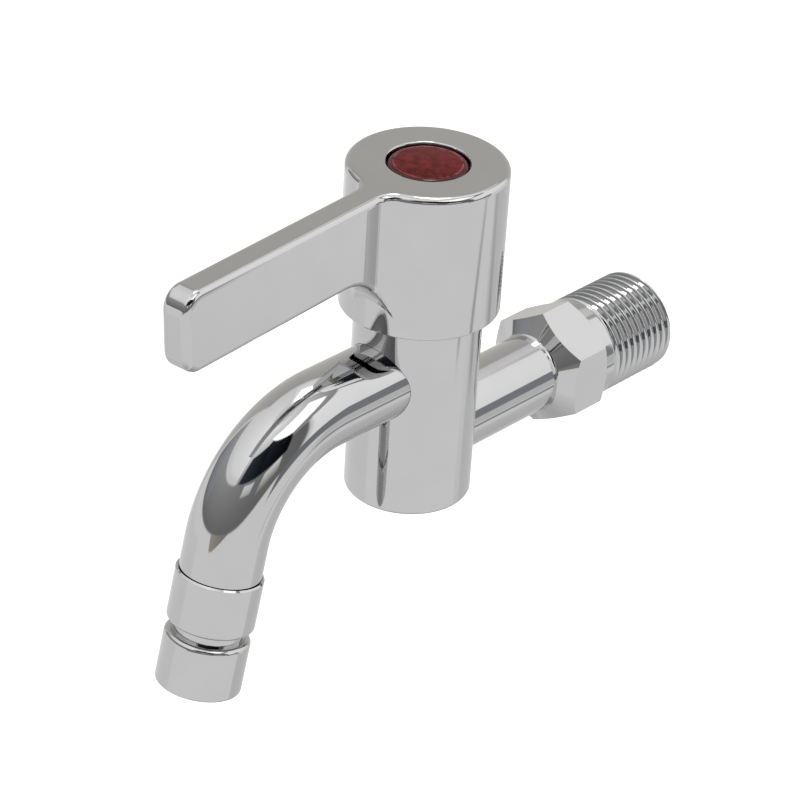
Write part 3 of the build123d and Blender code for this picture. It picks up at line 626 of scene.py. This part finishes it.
def collar_outline(size):
    """Half section of the aerator collar: bore, rounded shoulder, wall, lower rounding and lip."""
    radius, bore = (COLLAR_HIGH.x - COLLAR_LOW.x) / 2, size.collar_bore / 2
    start = size.sleeve_length + size.neck_length
    end, rounding, shoulder = start + size.collar_length, size.collar_round, size.collar_shoulder
    lip = bore - size.collar_lip
    return outline(
        (bore, start),
        corner_arc((radius - shoulder, start + shoulder), shoulder, -90, 0),
        corner_arc((radius - rounding, end - rounding), rounding, 0, 90),
        (lip, end),
        (lip, end - size.collar_lip_thickness),
        (bore, end - size.collar_lip_thickness),
    )


def cap_outline(size, crown_rows=12):
    """Half section of the cap from its underside out to the rim and in over the crowned top.

    The top falls from its middle with the square of the radius.
    """
    radius = (CAP_HIGH.x - CAP_LOW.x) / 2
    top, rounding = CAP_HIGH.z, size.cap_round
    rim_bottom = CAP_LOW.z + size.cap_skirt_depth
    skirt = radius - size.cap_skirt_inset
    inside = skirt - size.cap_skirt_wall
    edge = radius - rounding
    across = np.linspace(edge, edge / crown_rows, crown_rows)
    crown = np.stack([across, top + size.cap_crown * (1 - (across / edge) ** 2)], -1)
    return outline(
        (inside, rim_bottom),
        (inside, CAP_LOW.z),
        (skirt, CAP_LOW.z),
        (skirt, rim_bottom),
        (radius, rim_bottom),
        corner_arc((edge, top - rounding), rounding, 0, 90)[:-1],
        crown,
    )


class TAP_OT_inlet_tail(bpy.types.Operator):
    """Draws the inlet tube with its hexagon and pipe thread."""

    bl_idname = "tap.inlet_tail"
    bl_label = "Inlet tail"

    def execute(self, context):
        size = context.scene.tap_sizes
        points = inlet_tail_points(size)
        piece = closed_grid("threaded_inlet_tail", points)
        # The attribute groove sets how much painted shade the thread's roots get
        below = size.thread_diameter / 2 - np.hypot(points[..., 0], points[..., 2])
        groove = soft_step(below / (THREAD_DEPTH * size.thread_pitch))
        # Only the thread counts, not the tube, the hexagon or the bore
        groove[(points[..., 1] < size.plain_shank) | (below > size.thread_pitch)] = 0
        made = piece.data.attributes.new("groove", "FLOAT", "POINT")
        made.data.foreach_set("value", groove.ravel().astype(np.float32))
        settle(piece, "tap_body", "chrome_plated_brass", "inlet_tail")
        return {"FINISHED"}


class TAP_OT_spout(bpy.types.Operator):
    """Draws the bent spout tube."""

    bl_idname = "tap.spout"
    bl_label = "Spout"

    def execute(self, context):
        piece = closed_grid("bent_spout_tube", spout_points(context.scene.tap_sizes))
        settle(piece, "tap_body", "chrome_plated_brass", "spout")
        return {"FINISHED"}


class TAP_OT_outlet(bpy.types.Operator):
    """Draws the outlet sleeve and the aerator collar on the spout's end."""

    bl_idname = "tap.outlet"
    bl_label = "Outlet"

    def execute(self, context):
        size = context.scene.tap_sizes
        origin, out = outlet_frame(size)
        for name, node, section in (
            ("turned_outlet_sleeve", "outlet_sleeve", sleeve_outline(size)),
            ("turned_aerator_collar", "aerator_collar", collar_outline(size)),
        ):
            points = turned(section[:, :1], section[:, 1:], TUBE_COLUMNS, origin, out, (1, 0, 0))
            settle(closed_grid(name, points), "tap_body", "chrome_plated_brass", node)
        return {"FINISHED"}


class TAP_OT_cap(bpy.types.Operator):
    """Draws the red indicator cap in the handle."""

    bl_idname = "tap.cap"
    bl_label = "Indicator cap"

    def execute(self, context):
        size = context.scene.tap_sizes
        section = cap_outline(size)
        centre = (0, AXIS_Y, 0)
        points = turned(section[:, :1], section[:, 1:], CAP_COLUMNS, centre, (0, 0, 1), (1, 0, 0))
        underside = (0, AXIS_Y, CAP_LOW.z + size.cap_skirt_depth)
        middle = (0, AXIS_Y, CAP_HIGH.z + size.cap_crown)
        piece = poled_grid("moulded_indicator_cap", points, underside, middle)
        share = np.repeat(section[:, 0] / section[:, 0].max(), points.shape[1])
        rim = piece.data.attributes.new("rim", "FLOAT", "POINT")
        rim.data.foreach_set("value", np.append(share, [0, 0]).astype(np.float32))
        settle(piece, "handle_set", "red_cap_plastic", "indicator_cap")
        return {"FINISHED"}


class TAP_OT_solids(bpy.types.Operator):
    """Gives the solids that stay their finishes: handle, barrel, cartridge and aerator pieces."""

    bl_idname = "tap.solids"
    bl_label = "Finishes of the solids"

    def execute(self, context):
        for row in frame["record"]["subparts"]:
            node = frame["nodes"][row["node"]]
            finish = finishes()[row["material_slot"]]
            if node.material_slots:
                node.material_slots[0].material = finish
            else:
                node.data.materials.append(finish)
        return {"FINISHED"}


# Studio

WHITE, WARM, COOL = (1, 1, 1), (1.03, 1.015, 0.955), (0.96, 0.99, 1.05)
BROWN, INK = (1.1, 1.01, 0.89), (0.8, 0.95, 1.25)

# Cards round the tap, the farthest first: corners from the lower left, their levels, feather, tint
CARDS = {
    "ceiling_bounce": (
        ((-135, 31), (16, 36), (20, 80), (-135, 80)), (0.9, 1.15, 1.45, 1.0), (5, 5), WHITE
    ),
    "rear_ceiling": (((150, 46), (240, 46), (240, 84), (150, 84)), (1.2, 1.0, 1.5, 1.6), (5, 5), WHITE),
    "tap_shadow": (
        ((85, -88), (280, -88), (270, -26), (138, -26)), (0.34, 0.34, 0.8, 0.85), (12, 12), WHITE
    ),
    "spout_shadow": (
        ((-110, -89), (85, -89), (85, -36), (-110, -36)), (0.5, 0.5, 0.98, 0.95), (10, 10), WHITE
    ),
    "left_table": (
        ((-112, -44), (-34, -44), (-34, -8), (-112, -8)), (0.87, 0.88, 0.88, 0.87), (8, 8), WHITE
    ),
    "right_table": (
        ((148, -44), (215, -44), (215, -18), (148, -18)), (0.74, 0.7, 0.7, 0.74), (8, 6), WHITE
    ),
    "grey_backdrop": (
        ((174, -20), (267, -20), (267, 46), (174, 50)), (0.68, 0.7, 0.5, 0.53), (5, 5), WARM
    ),
    "pale_panel": (
        ((182, 35), (212, 35), (212, 52), (182, 52)), (0.9, 0.8, 0.9, 1.0), (6, 4), WHITE
    ),
    "table_shade": (((122, -20), (140, -20), (136, -2), (122, -7)), 0.74, (2, 2), WHITE),
    "dark_ceiling": (((9, 27), (165, 42), (165, 78), (14, 78)), (0.22, 0.3, 0.8, 1.6), (4, 4), WHITE),
    "side_bounce": (
        ((109, -3), (176, 6), (176, 52), (109, 41)), (1.15, 1.16, 1.22, 1.3), (3, 3), WHITE
    ),
    "dim_room": (((-93, 0), (109, -3), (109, 39), (-93, 29)), (0.2, 0.2, 0.18, 0.55), (3, 2.5), WHITE),
    "cool_window": (((-93, 1), (-45, 1), (-45, 27), (-93, 27)), (0.3, 0.3, 0.45, 0.5), (12, 6), COOL),
    "left_window": (((35, 21), (57, 17), (59, 26), (36, 31)), (0.6, 0.5, 0.95, 1.1), (3, 3), WHITE),
    "right_window": (((66, 9), (94, 5), (89, 23), (71, 24)), (0.15, 0.15, 1.15, 1.0), (3, 3), WARM),
    "rear_lamp": (((200, 60), (230, 60), (230, 78), (200, 78)), 9, (3, 3), WHITE),
    "key_softbox": (((88, 40), (142, 53), (134, 69), (50, 62)), 1.9, (2, 2), WHITE),
    "black_screen": (((22, 34), (93, 21), (93, 42), (58, 59)), (0.03, 0.003, 0.003, 0.03), (2, 2), INK),
    "black_drape": (((16, 33), (62, 28), (58, 57), (22, 52)), (0.05, 0.01, 0.01, 0.05), (3, 2), INK),
    "table_edge": (((98, -13), (137, -6), (137, 12), (98, 1)), (0.22, 0.32, 0.32, 0.22), (2, 2), COOL),
    "brown_corner": (
        ((-2, -12), (3, -11.5), (40, 0.5), (-6, 0.5)), (0.4, 0.4, 0.22, 0.42), (1, 1), BROWN
    ),
    "floor_seam": (((126, -26), (141, -26), (141, -20), (126, -20)), 0.35, (2, 2), WHITE),
    "near_stand": (
        ((117, -30.4), (122, -30.4), (139, -26), (134, -26)), (0.4, 0.4, 0.75, 0.75), (1.5, 1), WHITE
    ),
    "far_stand": (((158, -31), (168, -31), (158, -25), (152, -25)), (0.5, 0.5, 0.7, 0.7), (2, 1), WHITE),
}

# Distance of the farthest card, and how much nearer each later one stands
CARD_REACH, CARD_STEP = 6.5, 0.08

# Light of the world on matt surfaces and in mirrors, and what the table adds for the eye
MATT_LEVEL, MIRROR_LEVEL, TABLE_LIFT = 0.75, 0.96, 0.45

# Softbox overhead, with its azimuth and elevation in degrees
LAMP_WAY, LAMP_DISTANCE, LAMP_SIZE, LAMP_WATTS = (95, 62), 1.3, 0.9, 5.0

# Camera, and the pixel at which the barrel and inlet axes cross
CAMERA_PLACE = {"azimuth": 41.39, "elevation": 31.16, "roll": 3.74, "distance": 0.6}
CAMERA_FOCUS_PIXELS = 3109.79
CAMERA_AXIS_PIXEL = (409.90, 432.99)
CAMERA_CLIP = (0.01, 50)
IMAGE_PIXELS = 800
SENSOR_MM = 36

# Table below the tap: how far below it, and how far it reaches to each side
TABLE_DROP, TABLE_REACH = 0.12, 6.0


def sky(azimuth, elevation):
    """Direction from the tap, azimuth counted from the front (-Y) towards the right (+X), in degrees.

    Its parts are sine and minus cosine of the azimuth, each times the cosine of the elevation, and
    the sine of the elevation.
    """
    a, e = np.radians(azimuth), np.radians(elevation)
    return np.stack([np.sin(a) * np.cos(e), -np.cos(a) * np.cos(e), np.sin(e)], -1)


def edge_steps(feather, most=0.49, edge_count=7, middle_count=25):
    """Steps from 0 to 1 in three even runs: the feathered share, the middle and the share at the end."""
    share = min(feather, most)
    edge = np.linspace(0, share, edge_count)
    middle = np.linspace(share, 1 - share, middle_count)
    return np.concatenate([edge[:-1], middle, np.linspace(1 - share, 1, edge_count)[1:]])


def card_finish():
    """Studio card cloth: glows at its level where its cover is full and lets the rest through."""
    finish, tree = begin_finish("studio_card_cloth")
    glow = add(tree, "ShaderNodeAttribute", attribute_name="glow").outputs
    clear = add(tree, "ShaderNodeBsdfTransparent")
    light = add(tree, "ShaderNodeEmission", {"Color": glow["Color"]})
    mixed = add(tree, "ShaderNodeMixShader", {0: glow["Alpha"], 1: clear, 2: light})
    add(tree, "ShaderNodeOutputMaterial", {"Surface": mixed})
    finish.cycles.emission_sampling = "NONE"
    return finish


def studio_card(name, cloth, reach, corners, levels, feather, tint):
    """Card far round the tap, which only polished surfaces see.

    Its four corners are (azimuth, elevation) in degrees, anticlockwise from the lower left as seen
    from the tap, each with its level, or one level for all. Directions and levels in between are
    blended from the corners by u across and v upward. Its cover, kept as alpha, rises smoothly within
    the feather of its sides and of its ends.
    """
    corners, levels = np.array(corners, float), np.broadcast_to(np.array(levels, float), 4)
    across, upward = np.ptp(corners[:, 0]), np.ptp(corners[:, 1])
    u, v = np.meshgrid(edge_steps(feather[0] / across), edge_steps(feather[1] / upward))
    weights = np.stack([(1 - u) * (1 - v), u * (1 - v), u * v, (1 - u) * v], -1)
    way = weights @ corners
    points = sky(way[..., 0], way[..., 1]) * reach + np.array([0, AXIS_Y, 0])
    rows, columns = u.shape
    index = np.arange(rows * columns).reshape(rows, columns)
    quads = np.stack([index[:-1, :-1], index[1:, :-1], index[1:, 1:], index[:-1, 1:]], -1)
    card = link_mesh(name, points.reshape(-1, 3), quads.reshape(-1, 4).tolist())
    cover = soft_step(np.minimum(u, 1 - u) * across / feather[0])
    cover = cover * soft_step(np.minimum(v, 1 - v) * upward / feather[1])
    glow = np.concatenate([(weights @ levels)[..., None] * tint, cover[..., None]], -1)
    made = card.data.attributes.new("glow", "FLOAT_COLOR", "POINT")
    made.data.foreach_set("color", glow.ravel().astype(np.float32))
    card.data.materials.append(cloth)
    for ray in ("camera", "diffuse", "transmission", "volume_scatter", "shadow"):
        setattr(card, "visible_" + ray, False)


def table_finish():
    """White laminate table: plain white to the eye, with the tap's soft shadow on it.

    Its print is too fine to show, so it is drawn as a faint drift of tone 40 mm wide.
    """
    finish, tree = begin_finish("white_laminate_table")
    place = add(tree, "ShaderNodeTexCoord").outputs["Object"]
    path = add(tree, "ShaderNodeLightPath").outputs
    grain = add(tree, "ShaderNodeTexNoise", {"Vector": place, "Scale": per(40), "Detail": 2})
    white = add(
        tree,
        "ShaderNodeMix",
        {"Factor": grain, "A": rgba(linear("F4F4F3")), "B": rgba(linear("F1F1F0"))},
        data_type="RGBA",
    )
    matt = add(tree, "ShaderNodeBsdfDiffuse", {"Color": white})
    lift = add(
        tree, "ShaderNodeMapRange", {"Value": path["Is Camera Ray"], "To Min": 0, "To Max": TABLE_LIFT}
    )
    glow = add(tree, "ShaderNodeEmission", {"Strength": lift})
    seen = add(tree, "ShaderNodeAddShader", {0: matt, 1: glow})
    add(tree, "ShaderNodeOutputMaterial", {"Surface": seen})
    finish.cycles.emission_sampling = "NONE"
    return finish


def lay_table():
    """Square white table below the tap, which the eye sees and polished surfaces don't.

    The chrome mirrors the cards and the white world in its place.
    """
    floor = CAD_BOX[0][2] - TABLE_DROP
    side = TABLE_REACH * np.array([[-1, -1], [1, -1], [1, 1], [-1, 1]])
    corners = np.column_stack([side, np.full(4, floor)])
    table = link_mesh("white_table", corners, [[0, 1, 2, 3]])
    table.data.materials.append(table_finish())
    table.visible_glossy = False


def hang_softbox():
    """Round softbox overhead that faces the barrel and is not seen itself."""
    lamp = bpy.data.lights.new("overhead_softbox", "AREA")
    lamp.shape, lamp.size, lamp.energy = "DISK", LAMP_SIZE, LAMP_WATTS
    softbox = bpy.data.objects.new("overhead_softbox", lamp)
    away = Vector(sky(*LAMP_WAY))
    spot = Matrix.Translation(away * LAMP_DISTANCE + Vector((0, AXIS_Y, 0)))
    softbox.matrix_world = spot @ away.to_track_quat("Z", "Y").to_matrix().to_4x4()
    softbox.visible_camera = False
    softbox.visible_glossy = False
    bpy.context.scene.collection.objects.link(softbox)


def white_world():
    """White all round for the eye, metal and glass, and a plain level of light for matt surfaces."""
    world = bpy.data.worlds.new("white_studio")
    world.use_nodes = True
    tree = world.node_tree
    tree.nodes.clear()
    path = add(tree, "ShaderNodeLightPath").outputs
    mirrored = add(
        tree,
        "ShaderNodeMath",
        {0: path["Is Glossy Ray"], 1: path["Is Transmission Ray"]},
        operation="MAXIMUM",
    )
    level = add(
        tree, "ShaderNodeMapRange", {"Value": mirrored, "To Min": MATT_LEVEL, "To Max": MIRROR_LEVEL}
    )
    strength = add(
        tree, "ShaderNodeMath", {0: level, 1: path["Is Camera Ray"]}, operation="MAXIMUM"
    )
    white = add(tree, "ShaderNodeBackground", {"Color": (1, 1, 1, 1), "Strength": strength})
    add(tree, "ShaderNodeOutputWorld", {"Surface": white})
    bpy.context.scene.world = world


def place_camera():
    """Camera at the viewing angle, with the crossing of barrel and inlet axes at its pixel."""
    azimuth, elevation = CAMERA_PLACE["azimuth"], CAMERA_PLACE["elevation"]
    back = Vector(sky(azimuth, elevation))
    level = Vector(sky(azimuth + 90, 0))
    above = back.cross(level)
    roll = math.radians(CAMERA_PLACE["roll"])
    right = math.cos(roll) * level + math.sin(roll) * above
    up = math.cos(roll) * above - math.sin(roll) * level
    pixel = CAMERA_PLACE["distance"] / CAMERA_FOCUS_PIXELS
    aside = (CAMERA_AXIS_PIXEL[0] - IMAGE_PIXELS / 2) * pixel
    down = (CAMERA_AXIS_PIXEL[1] - IMAGE_PIXELS / 2) * pixel
    spot = Vector((0, AXIS_Y, 0)) + CAMERA_PLACE["distance"] * back - aside * right + down * up
    data = bpy.data.cameras.new("front_right_camera")
    data.sensor_width = SENSOR_MM
    data.lens = CAMERA_FOCUS_PIXELS * SENSOR_MM / IMAGE_PIXELS
    data.clip_start, data.clip_end = CAMERA_CLIP
    camera = bpy.data.objects.new("front_right_camera", data)
    camera.matrix_world = Matrix.Translation(spot) @ Matrix((right, up, back)).transposed().to_4x4()
    bpy.context.scene.collection.objects.link(camera)
    bpy.context.scene.camera = camera


class TAP_OT_studio(bpy.types.Operator):
    """Sets the white table, the light, the cards that the chrome mirrors, and the camera."""

    bl_idname = "tap.studio"
    bl_label = "Studio"

    def execute(self, context):
        lay_table()
        cloth = card_finish()
        for number, (name, settings) in enumerate(CARDS.items()):
            studio_card(name, cloth, CARD_REACH - number * CARD_STEP, *settings)
        hang_softbox()
        white_world()
        place_camera()
        context.scene.view_settings.view_transform = "Standard"
        return {"FINISHED"}


class TAP_PT_panel(bpy.types.Panel):
    """Lists the pieces of the tap, its sizes and its colours."""

    bl_idname = "TAP_PT_panel"
    bl_label = "Lever bib tap"
    bl_space_type = "VIEW_3D"
    bl_region_type = "UI"
    bl_category = "Bib tap"

    def draw(self, context):
        for step in OPERATORS:
            self.layout.operator(step.bl_idname)
        for group in (context.scene.tap_sizes, context.scene.tap_colours):
            box = self.layout.box()
            for key in group.__annotations__:
                box.prop(group, key)


OPERATORS = (
    TAP_OT_inlet_tail,
    TAP_OT_spout,
    TAP_OT_outlet,
    TAP_OT_cap,
    TAP_OT_solids,
    TAP_OT_studio,
)
CLASSES = (TapSizes, TapColours, *OPERATORS, TAP_PT_panel)


def register():
    """Registers the classes and hangs the settings on the scene."""
    for item in CLASSES:
        bpy.utils.register_class(item)
    bpy.types.Scene.tap_sizes = bpy.props.PointerProperty(type=TapSizes)
    bpy.types.Scene.tap_colours = bpy.props.PointerProperty(type=TapColours)


def unregister():
    """Takes the settings and classes away again."""
    del bpy.types.Scene.tap_sizes
    del bpy.types.Scene.tap_colours
    for item in reversed(CLASSES):
        bpy.utils.unregister_class(item)


def main():
    """Builds every piece and the studio."""
    register()
    bpy.ops.tap.inlet_tail()
    bpy.ops.tap.spout()
    bpy.ops.tap.outlet()
    bpy.ops.tap.cap()
    bpy.ops.tap.solids()
    bpy.ops.tap.studio()


if __name__ == "__main__":
    main()
